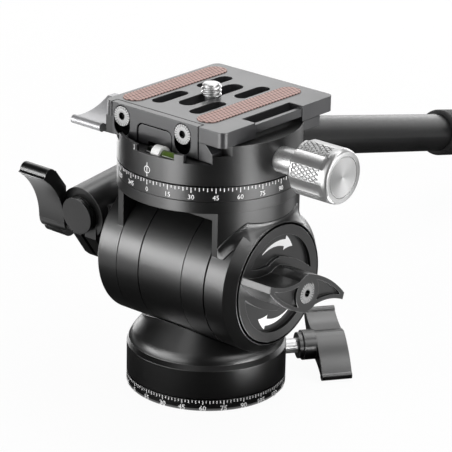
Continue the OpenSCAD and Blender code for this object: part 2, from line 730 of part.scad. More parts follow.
module plate() color([0.25, 0.25, 0.26]) difference() {
    union() {
        plate_slab();
        translate([0, plate_back - 1, 0]) rotate([90, 0, 0]) linear_extrude(plate_front + plate_back - 1.2)
            polygon([[-root_half, slab_z + e], [-lip_half, plate_bottom + lip_h], [-lip_half, plate_bottom],
                [lip_half, plate_bottom], [lip_half, plate_bottom + lip_h], [root_half, slab_z + e]]);
    }
    difference() {
        box([flange_left - flange_gap, -40, 70], [flange_right + flange_gap, rear_y + flange_gap, 100]);
        difference() {
            window_block(window_half - tongue_gap, window_top - tongue_gap, 1.8, 0.25 - plate_front);
            box([slot_x - 2.7, -40, 70], [slot_x + 5.3, 0, plate_bottom + 1.1]);
        }
    }
    for (x = flange_screw_x) translate([x, rear_y - 1, flange_screw_z]) rotate([-90, 0, 0])
        cylinder(r = 1.5 + seat_gap, h = 8);
    plate_slot(slot_x, slot_y - 13.5, slot_y + 13.5, screw_slot_w, 70, 100);
    plate_slot(slot_x, slot_y - 16.5, slot_y + 16.5, 12.6, 70, slab_z + 1.2);
    for (s = [-1, 1]) {
        plate_slot(slot_x + s * slot_out, slot_y - 17.5, slot_y - 3.1, slot_w, 70, 100);
        plate_slot(slot_x + s * slot_out, slot_y + 3, slot_y + 17.5, slot_w, 70, 100);
    }
    for (x = strip_x) plate_slot(x, -17.1, 27.3, strip_w, plate_top - 0.7, 100);
    difference() {
        box([18.2, -6.8, slab_z - e], [40, 15.3, 100]);
        box([21.6, -10, slab_z + 1.3], [plate_right - 0.5, 20, plate_top - 0.9]);
    }
    box([19.2, -6.8, 70], [40, 15.3, slab_z + 1.3]);
}

module strip(x) {
    plate_slot(x, -17.1 + seat_gap, 27.3 - seat_gap, strip_w - 2 * seat_gap,
        plate_top - 0.7 + seat_gap, plate_top + 0.25);
}

module strip_left() color([0.50, 0.35, 0.31]) strip(strip_x[0]);

module strip_right() color([0.50, 0.35, 0.31]) strip(strip_x[1]);

module flange_screws() color([0.85, 0.85, 0.86])
    for (x = flange_screw_x) translate([x, 0, flange_screw_z]) rotate([-90, 0, 0]) difference() {
        union() {
            translate([0, 0, -plate_front - 0.1]) cylinder(r = flange_head, h = 1.3);
            translate([0, 0, -plate_front + 1]) cylinder(r = 1.5, h = 8);
        }
        translate([0, 0, -plate_front - 1]) cylinder(r = 1.2, h = 1.8, $fn = 6);
    }

module stop_flange() color([0.27, 0.27, 0.28]) difference() {
    box([flange_left, -plate_front, plate_bottom + 0.2], [flange_right, rear_y, plate_top]);
    for (x = flange_screw_x) {
        for (dz = [0.05, -flange_rise - 0.05]) translate([x, -plate_front - 1, flange_screw_z + dz])
            rotate([-90, 0, 0]) {
                cylinder(r = flange_head + 0.15, h = 2.4);
                cylinder(r = 1.7, h = 10);
            }
        box([x - flange_head - 0.15, -30, flange_screw_z - flange_rise],
            [x + flange_head + 0.15, -plate_front + 1.4, flange_screw_z]);
        box([x - 1.7, -30, flange_screw_z - flange_rise], [x + 1.7, 0, flange_screw_z]);
    }
    window_block(window_half, window_top, 2.2, -30);
}

module screw_clip() color([0.6, 0.6, 0.62]) translate([slot_x, slot_y, 0])
    ring(5.6, 2 + seat_gap, slab_z + 0.5, slab_z + 1.1);

module camera_screw() color([0.86, 0.86, 0.87]) translate([slot_x, slot_y, 0]) difference() {
    union() {
        translate([0, 0, plate_top + 0.15]) cylinder(r = camera_r, h = camera_h - 0.65);
        translate([0, 0, plate_top + camera_h - 0.5]) cylinder(r1 = camera_r, r2 = camera_r - 0.5, h = 0.5);
        translate([0, 0, slab_z]) cylinder(r = 2, h = plate_top - slab_z + 1);
        translate([0, 0, slab_z - 3]) cylinder(r = 5.8, h = 3.4);
    }
    translate([0, 0, slab_z - 4]) cylinder(r = 2.2, h = 3, $fn = 6);
}

base_plate();
base_pad();
thread_bush();
pan_retainer();
retainer_screws();
base_housing();
pan_washer();
pan_brake_pad();
tilt_core();
core_screws();
drum_ring_a();
drum_ring_b();
bearing_left();
bearing_right();
damping_plates();
pan_lock_screw();
pan_lock_collar();
pan_lock_wing();
yoke();
scale_ring();
tilt_shaft();
damping_discs();
left_cap();
handle_bracket();
tilt_knob();
tilt_knob_screw();
tilt_stud();
handle_lever();
handle_screw();
handle_bar();
handle_plug();
handle_grip();
grip_cap();
pano_drum();
pano_pivot();
pano_brake();
level_holder();
level_vial();
level_band();
jaw_pins();
pano_knob();
pano_screw();
moving_jaw();
clamp_lever();
clamp_screw();
plate();
strip_left();
strip_right();
flange_screws();
stop_flange();
screw_clip();
camera_screw();
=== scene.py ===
"""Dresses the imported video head: finishes, printed scales, thread, knurling, level, light and camera."""
import math

import bpy
import numpy as np
from mathutils import Euler, Matrix, Vector


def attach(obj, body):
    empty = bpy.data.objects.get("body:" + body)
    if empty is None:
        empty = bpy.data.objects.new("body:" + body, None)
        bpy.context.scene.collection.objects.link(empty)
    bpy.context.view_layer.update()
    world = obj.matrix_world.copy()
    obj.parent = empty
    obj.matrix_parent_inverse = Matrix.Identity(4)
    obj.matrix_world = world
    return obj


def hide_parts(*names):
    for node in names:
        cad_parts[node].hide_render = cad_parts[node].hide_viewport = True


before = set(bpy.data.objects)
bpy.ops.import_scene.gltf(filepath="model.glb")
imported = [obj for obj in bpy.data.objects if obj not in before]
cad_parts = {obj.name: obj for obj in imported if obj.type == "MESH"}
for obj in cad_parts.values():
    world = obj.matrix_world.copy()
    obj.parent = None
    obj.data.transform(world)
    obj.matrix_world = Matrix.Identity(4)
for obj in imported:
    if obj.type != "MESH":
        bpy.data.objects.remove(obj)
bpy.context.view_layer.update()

MM = 0.001
TAU = 2 * math.pi

# places and sizes shared with the solids, in millimetres
BASE_R = 25.0               # base scale ring
BASE_RING_H = 3.8
WALL_TOP = 13.3             # foot of the base's shoulder
TOP_R = 28.35               # upper scale ring and the panorama drum
TURN_Z = 74.2               # joint between those two
TILT_Z = 40.2               # tilt axis
DISC_FLOOR_X = 27.1         # floor of the tilt-lock disc
ARM_HALF = 19.2             # half the width of the yoke's right arm
ARM_R = 27.8
HOUSING_R = 22.4
HOUSING_X = 25.2            # where the housing's slanting edge starts
HOUSING_FACE = 28.2
PLATE_TOP = 92.0
FLANGE_Y = -21.2            # front face of the stop flange
FLANGE_MID = -4.7           # its middle, and its screws either side of that
FLANGE_SCREW_X = 12.2
FLANGE_SCREW_Z = 88.2
SCREW_XY = (-3.7, 4.5)      # camera screw
SCREW_TOP = 96.0
SCREW_R = 3.175
SCREW_PITCH = 1.27
KNOB_X = 37.4               # panorama lock knob
KNOB_LEN = 14.4
KNOB_R = 8.5
KNOB_Z = 80.2
FLUTE_OFFSET = 13.1         # its six round flutes
FLUTE_R = 5.3
FLUTE_TURN = 20.0
VIAL_FOOT = 79.6            # bubble level
VIAL_HEAD = 82.9

# height of a paint mark above the metal that carries it
PAINT = 0.03


class Wire:
    """A shader socket that takes arithmetic: each operator adds one Math node, with numbers on either side."""

    def __init__(self, finish, socket):
        self.finish = finish
        self.socket = socket

    def maths(self, operation, other=0.0):
        return self.finish.node("Math", {"operation": operation}, {0: self, 1: other})

    def outputs(self):
        """Wires from all the outputs of the same node, by name."""
        return {socket.name: Wire(self.finish, socket) for socket in self.socket.node.outputs}

    def __add__(self, other):
        return self.maths("ADD", other)

    def __sub__(self, other):
        return self.maths("SUBTRACT", other)

    def __rsub__(self, other):
        return self.finish.node("Math", {"operation": "SUBTRACT"}, {0: other, 1: self})

    def __mul__(self, other):
        return self.maths("MULTIPLY", other)

    def __truediv__(self, other):
        return self.maths("DIVIDE", other)

    def __pow__(self, other):
        return self.maths("POWER", other)

    __radd__ = __add__
    __rmul__ = __mul__


class Finish:
    """One node material. node() adds any node, and give() feeds the main shader's sockets."""

    def __init__(self, name):
        self.material = bpy.data.materials.new(name)
        self.material.use_nodes = True
        self.tree = self.material.node_tree
        self.shader = self.tree.nodes["Principled BSDF"]

    def node(self, kind, settings=None, links=None, out=0):
        made = self.tree.nodes.new("ShaderNode" + kind)
        for key, value in (settings or {}).items():
            setattr(made, key, value)
        self.feed(made, links or {})
        return Wire(self, made.outputs[out])

    def feed(self, made, links):
        """Links wires to a node's sockets, and sets plain values on them."""
        for key, value in links.items():
            socket = made.inputs[key]
            if isinstance(value, Wire):
                self.tree.links.new(value.socket, socket)
            else:
                socket.default_value = value

    def give(self, links):
        self.feed(self.shader, links)
        return self.material

    def cover(self, factor, shader):
        """Lays another shader over what the material shows so far, by a factor."""
        end = self.tree.nodes["Material Output"]
        under = Wire(self, end.inputs["Surface"].links[0].from_socket)
        self.feed(end, {"Surface": self.node("MixShader", links={0: factor, 1: under, 2: shader})})

    def place(self):
        """Object coordinates: the shared frame, in metres."""
        return self.node("TexCoord", out="Object")

    def axes(self):
        """X, Y and Z of the place, as three wires."""
        return list(self.node("SeparateXYZ", links={0: self.place()}).outputs().values())

    def noise(self, scale, detail=2.0, stretch=(1, 1, 1)):
        """Noise from 0 to 1 with about scale lumps to the metre, drawn out along an axis by a small stretch."""
        moved = self.node("Mapping", links={"Vector": self.place(), "Scale": stretch})
        return self.node("TexNoise", links={"Vector": moved, "Scale": scale, "Detail": detail}, out="Fac")

    def ramp(self, value, low, high, first=0.0, last=1.0):
        """From first to last while value goes from low to high, and level outside."""
        spans = {"From Min": low, "From Max": high, "To Min": first, "To Max": last}
        return self.node("MapRange", links={"Value": value, **spans})

    def blend(self, factor, low, high):
        """Colour from low to high; each is a wire or red, green and blue."""
        low, high = (colour if isinstance(colour, Wire) else (*colour, 1) for colour in (low, high))
        return self.node("Mix", {"data_type": "RGBA"}, {"Factor": factor, 6: low, 7: high}, out=2)

    def normal(self):
        return self.node("NewGeometry", out="Normal")

    def rounded(self, edge):
        """Normal over edges rounded off by edge metres."""
        return self.node("Bevel", {"samples": 6}, {"Radius": edge})

    def relief(self, height, strength, distance, over=None):
        """Normal bumped by a height, over another normal where one is given."""
        links = {"Height": height, "Strength": strength, "Distance": distance}
        if over:
            links["Normal"] = over
        return self.node("Bump", links=links)


def shoulder_normal(f):
    """Shades the base's shoulder as turned metal with a crisp ledge: the normal leans up steeply over the narrow
    ledge, starts again near level above it and leans further in toward the top. Heights are millimetres above the
    wall, and leans are radians."""
    x, y, z = f.axes()
    steep = 0.85

    def rise(low, high, first=0.0, last=1.0):
        return f.ramp(z, (WALL_TOP + low) * MM, (WALL_TOP + high) * MM, first, last)

    lean = rise(-0.05, 0.1) * steep + rise(1.6, 1.8) * (rise(1.7, 4.6, 0.12, 0.70) - steep)
    level = lean.maths("COSINE") / (x * x + y * y) ** 0.5
    turned = f.node("CombineXYZ", links={0: x * level, 1: y * level, 2: lean.maths("SINE")})
    to_world = {"vector_type": "NORMAL", "convert_from": "OBJECT", "convert_to": "WORLD"}
    turned = f.node("VectorTransform", to_world, {0: turned})
    return f.node("Mix", {"data_type": "VECTOR"}, {0: rise(-0.1, 0.0), 4: f.normal(), 5: turned}, out=1)


def shade_gaps(f, left, right, top):
    """Lays painted shade, a matt black, over a finish inside the gaps and hollows round the stop flange: between
    left and right, below top and behind the flange's front face."""
    x, y, z = f.axes()
    sides = [(x, left, 0.1), (x, right, -0.1), (z, top, -0.1), (y, FLANGE_Y + 0.3, 0.2), (y, FLANGE_Y + 5.2, -0.2)]
    inside = math.prod(f.ramp(value, at * MM, (at + fade) * MM) for value, at, fade in sides)
    f.cover(inside, f.node("BsdfDiffuse", links={"Color": (0.002, 0.002, 0.002, 1)}))


def anodised(name, low, high, rough, edge=0.25 * MM, edge_highlight=0.0, shoulder=False, gaps=None):
    """Fine bead-blasted anodising: grain in the relief, slow drift in colour and gloss, and a painted highlight:
    edges painted paler in the colour, by the given amount."""
    f = Finish(name)
    fine, broad = f.noise(7000.0), f.noise(70.0, 3.0)
    colour = f.blend(broad, low, high)
    # painted highlight: the colour turns paler along edges, where the rounded normal leans away from the plain one
    if edge_highlight:
        compare = {0: f.rounded(edge), 1: f.normal()}
        turned = f.node("VectorMath", {"operation": "DOT_PRODUCT"}, compare, out="Value")
        colour = f.blend(f.ramp(turned, 0.98, 0.82), colour, (edge_highlight, edge_highlight, edge_highlight))
    over = shoulder_normal(f) if shoulder else f.rounded(edge)
    f.give({
        "Base Color": colour,
        "Roughness": rough + 0.10 * (broad - 0.5) + 0.10 * (fine - 0.5),
        "Normal": f.relief(fine, 0.18, 0.02 * MM, over),
        "IOR": 1.9,
    })
    # painted shade in the gaps and hollows round the stop flange
    if gaps:
        shade_gaps(f, *gaps)
    return f.material


def bright_metal(name, low, high, rough, metal=1.0, stretch=(1, 1, 1)):
    """Machined bright metal with cutting lines that a small stretch draws out along an axis; what is not metal
    scatters like a blasted surface."""
    f = Finish(name)
    lines, broad = f.noise(5000.0, 3.0, stretch), f.noise(120.0)
    return f.give({
        "Base Color": f.blend(broad, low, high),
        "Metallic": metal,
        "Roughness": rough + 0.16 * (lines - 0.5) + 0.06 * (broad - 0.5),
        "Normal": f.relief(lines, 0.15, 0.02 * MM, f.rounded(0.2 * MM)),
    })


def spun_metal():
    """Lathe-turned metal of the knob: fine rings round its axis, and on its flat face two pale wedges painted
    into the colour, a painted highlight in place of the one that spun rings throw back."""
    f = Finish("knob_spun")
    x, y, z = f.axes()
    dz = z - KNOB_Z * MM
    radius = (y * y + dz * dz) ** 0.5
    rings = f.node("TexNoise", {"noise_dimensions": "1D"}, {"W": radius + x * 0.7, "Scale": 4000.0}, out="Fac")
    front = KNOB_X + KNOB_LEN - 0.5
    face = f.ramp(x, front * MM, (front + 0.1) * MM)
    # painted highlight: pale wedges above and below the axis on the flat face
    wedge_highlight = (dz / radius) ** 2
    tone = 0.5 + (wedge_highlight - 0.5) * face * 0.9 + 0.3 * (f.noise(90.0) - 0.5) + 0.25 * (rings - 0.5)
    return f.give({
        "Base Color": f.blend(tone, (0.34, 0.34, 0.34), (0.66, 0.66, 0.66)),
        "Metallic": 0.85,
        "Roughness": 0.36 + 0.12 * (rings - 0.5),
        "Normal": f.relief(rings, 0.3, 0.04 * MM, f.rounded(0.10 * MM)),
    })


def screw_metal(name, offsets):
    """Screw head: offsets gives a place's two distances from the screw's axis. Fine teeth run round the rim, and
    shade is painted dark into the socket and between the teeth."""
    f = Finish(name)
    across, up = offsets(*f.axes())
    radius = (across * across + up * up) ** 0.5
    tooth = (across.maths("ARCTAN2", up) * 22.0).maths("COSINE")
    rim = f.ramp(radius, 2.05 * MM, 2.25 * MM)
    socket = f.ramp(radius, 1.25 * MM, 1.12 * MM)
    cut = rim * f.ramp(tooth, 0.2, 0.7)
    # painted shade: dark in the socket and between the rim's teeth
    dark = (cut * 0.6).maths("MAXIMUM", socket)
    return f.give({
        "Base Color": f.blend(dark, (0.44, 0.44, 0.44), (0.006, 0.006, 0.006)),
        "Metallic": 0.85,
        "Roughness": 0.30 + 0.2 * dark,
        "Normal": f.relief(1 - cut, 0.4, 0.1 * MM, f.rounded(0.2 * MM)),
    })


def from_flange_screw(x, y, z):
    """Distances from the nearer of the flange's two screws."""
    return (x - FLANGE_MID * MM).maths("ABSOLUTE") - FLANGE_SCREW_X * MM, z - FLANGE_SCREW_Z * MM


def from_tilt_axis(x, y, z):
    return y, z - TILT_Z * MM


def dotted_rubber():
    """Brown-pink rubber with rows of small dark pits, each row half a step from the next."""
    f = Finish("strip_dots")
    x, y, z = f.axes()
    row = x * (TAU / (3.0 * MM))
    step = y * (TAU / (1.4 * MM))
    pit = f.ramp((step + row).maths("COSINE") + (step - row).maths("COSINE"), 0.25, 1.1)
    mottle = f.noise(900.0)
    pale = f.blend(mottle, (0.50, 0.32, 0.285), (0.64, 0.42, 0.375))
    return f.give({
        "Base Color": f.blend(pit, pale, (0.13, 0.075, 0.065)),
        "Roughness": 0.62 + 0.18 * (mottle - 0.5),
        "Normal": f.relief(1 - pit, 0.5, 0.12 * MM),
    })


def cloth_grip(name, rough, weave):
    """Matt black covering with a fine woven grain."""
    f = Finish(name)
    grain = f.noise(weave, 3.0, (1, 0.35, 1))
    broad = f.noise(160.0)
    return f.give({
        "Base Color": f.blend(broad * 0.6 + grain * 0.4, (0.003, 0.003, 0.0032), (0.014, 0.014, 0.0145)),
        "Roughness": rough + 0.16 * (grain - 0.5),
        "Normal": f.relief(grain, 0.35, 0.06 * MM, f.rounded(0.3 * MM)),
        "IOR": 1.55,
    })


def paint(name, low, high, rough=0.45):
    """Printed paint or plain plastic with a slight unevenness."""
    f = Finish(name)
    drift = f.noise(2500.0)
    return f.give({
        "Base Color": f.blend(drift, low, high),
        "Roughness": rough + 0.2 * (drift - 0.5),
    })


def level_glass():
    """Green spirit seen through a clear tube, lighter toward its top, and dark to the left of the white band."""
    f = Finish("level_spirit")
    x, y, z = f.axes()
    lit = f.ramp(x, 0.2 * MM, 1.0 * MM)
    rise = f.ramp(z, VIAL_FOOT * MM, VIAL_HEAD * MM)
    spirit = f.blend(rise, (0.02, 0.04, 0.008), (0.085, 0.14, 0.025))
    return f.give({
        "Base Color": f.blend(lit, (0.003, 0.004, 0.003), spirit),
        "Roughness": 0.08 + 0.05 * f.noise(400.0),
        "Coat Weight": 0.8 * lit,
    })


# the two colours that each metal drifts between
BLACK = (0.0006, 0.0006, 0.0007), (0.0014, 0.0014, 0.0015)
LEVER_BLACK = (0.0008, 0.0008, 0.0009), (0.0018, 0.0018, 0.0019)
GREY = (0.022, 0.022, 0.024), (0.034, 0.034, 0.036)
BRIGHT = (0.62, 0.62, 0.62), (0.74, 0.74, 0.74)
LEVER_BRIGHT = (0.38, 0.38, 0.39), (0.48, 0.48, 0.49)
STEEL = (0.42, 0.42, 0.44), (0.55, 0.55, 0.57)
BRASS = (0.55, 0.38, 0.14), (0.70, 0.50, 0.20)

black = anodised("black_anodised", *BLACK, 0.32)
bright = bright_metal("bright_metal", *BRIGHT, 0.30, 0.8)
spun = spun_metal()
white = paint("scale_white", (0.80, 0.80, 0.80), (0.90, 0.90, 0.90))

FINISHES = {
    black: ["base_plate", "tilt_core", "drum_ring_a", "drum_ring_b", "yoke", "scale_ring", "left_cap",
            "handle_bracket", "handle_plug", "pano_drum", "moving_jaw"],
    anodised("base_black", *BLACK, 0.32, shoulder=True): ["base_housing"],
    # painted highlight on the edges of the levers and knobs
    anodised("lever_black", *LEVER_BLACK, 0.31, 0.3 * MM, edge_highlight=0.12): [
        "pan_lock_collar", "pan_lock_wing", "tilt_knob", "handle_lever"],
    # the plate and flange get painted shade in the gaps round the flange
    anodised("plate_grey", *GREY, 0.32, 0.3 * MM, gaps=(-21.4, 14.0, 91.8)): ["plate"],
    anodised("flange_grey", *GREY, 0.32, 0.3 * MM, gaps=(-30, 30, 91.7)): ["stop_flange"],
    bright: ["pan_lock_screw", "handle_screw", "pano_screw", "clamp_screw", "camera_screw"],
    bright_metal("lever_bright", *LEVER_BRIGHT, 0.40, 0.6, (0.06, 1, 1)): ["clamp_lever"],
    bright_metal("inner_steel", *STEEL, 0.35): [
        "thread_bush", "pan_retainer", "retainer_screws", "core_screws", "bearing_left", "bearing_right",
        "damping_plates", "tilt_shaft", "damping_discs", "tilt_stud", "pano_pivot", "jaw_pins", "screw_clip"],
    bright_metal("brake_brass", *BRASS, 0.32): ["pan_brake_pad", "pano_brake"],
    spun: ["pano_knob"],
    screw_metal("flange_head", from_flange_screw): ["flange_screws"],
    screw_metal("tilt_head", from_tilt_axis): ["tilt_knob_screw"],
    paint("washer_plastic", (0.70, 0.70, 0.67), (0.80, 0.80, 0.77), 0.5): ["pan_washer"],
    # white band in the vial where its bubble shows: the white is a painted highlight
    paint("level_band", (0.80, 0.80, 0.79), (0.88, 0.88, 0.87), 0.3): ["level_band"],
    paint("level_holder", (0.006, 0.006, 0.006), (0.012, 0.012, 0.012), 0.4): ["level_holder"],
    level_glass(): ["level_vial"],
    cloth_grip("pad_rubber", 0.75, 2500.0): ["base_pad"],
    cloth_grip("grip_foam", 0.70, 1800.0): ["handle_grip", "grip_cap"],
    cloth_grip("tube_sleeve", 0.42, 1500.0): ["handle_bar"],
    dotted_rubber(): ["strip_left", "strip_right"],
}
for finish, names in FINISHES.items():
    for name in names:
        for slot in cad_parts[name].material_slots:
            slot.material = finish


def add_piece(name, points, faces, finish, body, slot, smooth=True):
    """Puts points, in millimetres, and faces into a mesh that rides on a body."""
    mesh = bpy.data.meshes.new(name)
    mesh.from_pydata((np.asarray(points, float) * MM).tolist(), [], [list(face) for face in faces])
    mesh.materials.append(finish)
    mesh.polygons.foreach_set("use_smooth", np.full(len(mesh.polygons), smooth))
    mesh.validate()
    if smooth:
        mesh.set_sharp_from_angle(angle=math.radians(38))
    piece = bpy.data.objects.new(name, mesh)
    bpy.context.scene.collection.objects.link(piece)
    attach(piece, body)
    return piece


def add_mark(name, points, faces, body):
    """White paint on a body."""
    add_piece(name, points, faces, white, body, "bright_metal", False)


def grid_faces(rows, columns, closed=False):
    """Quads of a grid of rows by columns points; closed joins the last column to the first."""
    r, c = np.meshgrid(np.arange(rows - 1), np.arange(columns if closed else columns - 1), indexing="ij")
    here, after = r * columns + c, r * columns + (c + 1) % columns
    return np.stack([here, after, after + columns, here + columns], -1).reshape(-1, 4)


def wrapped(radius, angle, z):
    """Points a paint's height above an upright cylinder."""
    r = radius + PAINT
    return np.stack([r * np.cos(angle), r * np.sin(angle), z], -1).reshape(-1, 3)


# degrees between a scale's ticks, between its middle-sized ticks and between its numbers
TICK_STEP = 2.5
MIDDLE_STEP = 5
NUMBER_STEP = 15


def scale_ticks(radius, top, zero, lengths, wide):
    """Upright marks round a cylinder: angle steps evenly, and each mark hangs down from top, furthest at a number,
    less at each fifth degree and least between, over a width that is a small angle either side."""
    marks = np.arange(0, 360, TICK_STEP)
    long_, middle, short = lengths
    drop = np.where(marks % NUMBER_STEP == 0, long_, np.where(marks % MIDDLE_STEP == 0, middle, short))
    half = wide / 2 / radius
    angle = np.radians(marks + zero)[:, None] + np.array([-half, half, half, -half])
    points = wrapped(radius, angle, top - drop[:, None] * np.array([1, 1, 0, 0]))
    return points, np.arange(len(points)).reshape(-1, 4)


def digits(text, height, bold):
    """Outline points and faces of a number, flat and centred, from the plain built-in letters, swelled by bold."""
    curve = bpy.data.curves.new("digits", "FONT")
    curve.body = text
    curve.size = height / 0.72
    curve.align_x = "CENTER"
    curve.offset = bold
    curve.resolution_u = 2
    made = bpy.data.objects.new("digits", curve)
    bpy.context.scene.collection.objects.link(made)
    bpy.context.view_layer.update()
    mesh = bpy.data.meshes.new_from_object(made.evaluated_get(bpy.context.evaluated_depsgraph_get()))
    flat = np.empty(len(mesh.vertices) * 3)
    mesh.vertices.foreach_get("co", flat)
    faces = [np.array(face.vertices) for face in mesh.polygons]
    bpy.data.objects.remove(made)
    bpy.data.curves.remove(curve)
    bpy.data.meshes.remove(mesh)
    return flat.reshape(-1, 3), faces


def scale_numbers(radius, foot, height, zero, bold):
    """The numbers of a scale, wrapped: across becomes angle round the cylinder and up stays up."""
    points, faces, base = [], [], 0
    for mark in range(0, 360, NUMBER_STEP):
        flat, shape = digits(str(mark), height, bold)
        points.append(wrapped(radius, math.radians(mark + zero) + flat[:, 0] / radius, foot + flat[:, 1]))
        faces += [(face + base).tolist() for face in shape]
        base += len(flat)
    return np.concatenate(points), faces


def add_scale(name, body, radius, zero, top, lengths, wide, foot, height, bold):
    """One scale as two pieces: ticks that hang from top, and numbers of a height that stand on foot."""
    add_mark(name + "_ticks", *scale_ticks(radius, top, zero, lengths, wide), body)
    add_mark(name + "_numbers", *scale_numbers(radius, foot, height, zero, bold), body)


add_scale("base_scale", "mount_base", BASE_R, zero=-111.0, top=BASE_RING_H - 0.15, lengths=(1.35, 1.05, 0.85),
          wide=0.32, foot=0.35, height=1.6, bold=0.06)
add_scale("top_scale", "tilt_yoke", TOP_R, zero=-90.0, top=TURN_Z - 0.15, lengths=(1.6, 1.15, 0.8),
          wide=0.24, foot=70.35, height=1.5, bold=0.0)


def upright(left, right, foot, head):
    """Corners of a flat upright line, two by two."""
    return np.array([[[left, foot], [right, foot]], [[left, head], [right, head]]])


def index_mark():
    """Ring and upright line on the drum's front, and a short line at its rim, a painted highlight beside the
    notch: flat patches, wrapped by angle round it."""
    turn, edges, ring_z = np.linspace(0, TAU, 33), (0.95, 1.15), 77.2
    ring = np.stack([np.outer(edges, np.cos(turn)), np.outer(edges, np.sin(turn)) + ring_z], -1)
    line = upright(-0.11, 0.11, 75.0, 79.4)
    # painted highlight: a short white line at the rim, beside the level's notch in the drum's top
    rim_highlight = upright(-5.9, -5.68, 81.9, 83.7)
    points, faces, base = [], [], 0
    for patch in (ring, line, rim_highlight):
        rows, columns = patch.shape[:2]
        points.append(wrapped(TOP_R, -math.pi / 2 + patch[..., 0] / TOP_R, patch[..., 1]))
        faces.append(grid_faces(rows, columns) + base)
        base += rows * columns
    return np.concatenate(points), np.concatenate(faces)


add_mark("index_mark", *index_mark(), "panorama_top")


def arm_fillet():
    """Hollow curve from the yoke's right arm into its housing. At each place across, the arm is an upright line, the
    housing a level or falling one, and a quadratic curve with its middle point in the corner runs from one to the
    other. Each section closes through a point sunk below the corner, and the two ends are capped."""
    widest, foot_gap, sunk = 2.8, 0.05, 0.4
    y = np.linspace(-ARM_HALF, ARM_HALF, 97)[:, None]
    x_arm = np.sqrt(ARM_R ** 2 - y * y)

    def housing(x):
        return TILT_Z + np.sqrt((HOUSING_R - np.maximum(x - HOUSING_X, 0)) ** 2 - y * y)

    reach = np.minimum(widest, HOUSING_FACE - foot_gap - x_arm)
    corner = housing(x_arm)
    head = corner + 0.8 + 0.8 * reach
    t = np.linspace(0, 1, 13)
    x = x_arm + reach * t * t
    z = (1 - t) ** 2 * head + 2 * t * (1 - t) * corner + t * t * housing(x_arm + reach)
    x = np.concatenate([x, x_arm - sunk], 1)
    z = np.concatenate([z, corner - sunk], 1)
    points = np.stack([x, np.broadcast_to(y, x.shape), z], -1)
    rows, columns = x.shape
    ends = [list(range(columns - 1, -1, -1)), list(range((rows - 1) * columns, rows * columns))]
    return points.reshape(-1, 3), grid_faces(rows, columns, True).tolist() + ends


add_piece("arm_fillet", *arm_fillet(), black, "tilt_yoke", "black_anodised")


def turn_arrow(start):
    """Arrow bent round the tilt axis: radius is the middle radius plus a half-width times -1 to 1. The tail's
    half-width grows along it, and the head's falls to nothing at its tip. Angles run clockwise from start."""
    middle, tail_turn, head_turn = 12.5, 50, 19
    tail = np.linspace(0, 1, 17)
    head = np.linspace(0, 1, 7)
    angle = np.concatenate([start - tail_turn * tail, start - tail_turn - head_turn * head])
    half = np.concatenate([0.12 + 1.0 * tail, 2.3 * (1 - head)])
    radius = middle + np.outer(half, [-1, 1])
    a = np.radians(angle)[:, None]
    x = np.full_like(radius, DISC_FLOOR_X + PAINT)
    points = np.stack([x, radius * np.cos(a), TILT_Z + radius * np.sin(a)], -1)
    return points.reshape(-1, 3), np.delete(grid_faces(len(angle), 2), len(tail) - 1, 0)


for number, start in enumerate((121.0, 301.0)):
    add_mark(f"turn_arrow_{number}", *turn_arrow(start), "tilt_lock")


def revolved(along, out, steps):
    """Grids of distance along the axis, angle and radius, from a profile carried round in steps."""
    s, a = np.meshgrid(along, np.linspace(0, TAU, steps, endpoint=False), indexing="ij")
    return s, a, np.repeat(out[:, None], steps, 1)


def fade(value, width):
    """From 0 to 1 over a width, and level outside."""
    return np.clip(value / width, 0, 1)


def groove(turn):
    """Depth from 0 to 1 of a groove at the middle of each whole turn."""
    return fade(0.38 - np.abs(turn % 1 - 0.5) * 2, 0.38)


def knurled_knob():
    """Knob turned about X: a profile of distance along and radius out, carried round. The radius drops into six round
    flutes that run out before the front rim, and between them into two crossing sets of slanting grooves."""
    end, back, front, steps = KNOB_LEN, 0.9, 2.2, 540
    flute_half, groove_count, groove_lead, groove_deep = 14.2, 36, 2.2, 0.32
    side = np.linspace(back, end - front, 110)
    turn = np.linspace(0, math.pi / 2, 12)
    along = np.concatenate([[0.3, 0.0], back - back * np.cos(turn), side, end - front + front * np.sin(turn),
                            [end, end - 0.35, end - 0.35, end - 0.05, end - 0.35]])
    out = np.concatenate([[3.1, 3.1], KNOB_R - back + back * np.sin(turn), np.full(len(side), KNOB_R),
                          KNOB_R - back + back * np.cos(turn), [6.5, 6.35, 6.2, 6.05, 0.02]])
    x, a, r = revolved(along, out, steps)
    gap = (np.degrees(a) - FLUTE_TURN + 30) % 60 - 30
    bend = np.radians(gap)
    inside = np.maximum(FLUTE_R ** 2 - (FLUTE_OFFSET * np.sin(bend)) ** 2, 0)
    flute = np.where(np.abs(gap) < flute_half, FLUTE_OFFSET * np.cos(bend) - np.sqrt(inside), KNOB_R)
    flute = KNOB_R - (KNOB_R - flute) * fade(end - 1.5 - x, 2.0)
    round_, slant = a * groove_count / TAU, x / groove_lead
    grooves = np.maximum(groove(round_ + slant), groove(round_ - slant))
    band = fade(np.abs(gap) - 15.0, 1.0) * fade(x - 1.2, 0.3) * fade(end - 3.0 - x, 0.3)
    r = np.minimum(np.where(r > 7, flute, r), r) - np.where(r >= KNOB_R, groove_deep * band * grooves, 0)
    points = np.stack([KNOB_X + x, r * np.cos(a), KNOB_Z + r * np.sin(a)], -1)
    return points.reshape(-1, 3), grid_faces(len(along), steps, True)


knob = add_piece("knurled_knob", *knurled_knob(), spun, "panorama_lock", "bright_metal")
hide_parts("pano_knob")


